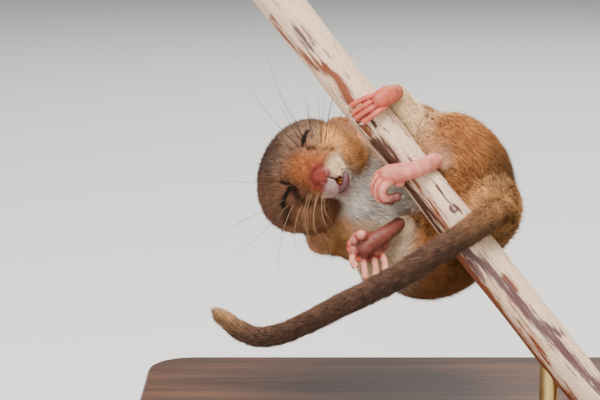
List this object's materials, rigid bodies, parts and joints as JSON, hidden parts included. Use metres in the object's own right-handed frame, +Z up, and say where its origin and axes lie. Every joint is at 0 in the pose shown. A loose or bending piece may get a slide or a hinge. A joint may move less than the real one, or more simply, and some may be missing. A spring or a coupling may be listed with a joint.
{
  "type": "hazel dormouse model",
  "caption": "A life-size hazel dormouse asleep and gripping a cut length of twig, held by a plain display stand with a flat base and a short rod.",
  "frame": {"origin": "middle of the underside of the stand's base", "axes": "+Z up; +X along the base's long side, from the dormouse's crown to its rump; the face looks to -Y"},
  "size_m": [0.1, 0.08, 0.0896],
  "materials": {
    "fur": "short soft golden-brown fur",
    "bare_skin": "bare pink skin",
    "tooth": "smooth orange enamel",
    "bark": "weathered pale wood, matt",
    "stand_wood": "dark stain, satin",
    "stand_metal": "brushed satin"
  },
  "bodies": {
    "root": {"belly_and_rump": "fur", "chest": "fur", "ear_left": "bare_skin", "ear_right": "bare_skin", "eye_left": "fur", "eye_right": "fur", "foot_left": "bare_skin", "foot_right": "bare_skin", "forearm_left": "fur", "forearm_right": "fur", "hand_left": "bare_skin", "hand_right": "bare_skin", "head": "fur", "incisors": "tooth", "neck": "fur", "shank_left": "fur", "shank_right": "fur", "stand_base": "stand_wood", "stand_rod": "stand_metal", "tail_end": "fur", "tail_middle": "fur", "tail_root": "fur", "tail_tip": "fur", "thigh_left": "fur", "thigh_right": "fur", "twig": "bark", "upper_arm_left": "fur", "upper_arm_right": "fur"}
  },
  "joints": []
}
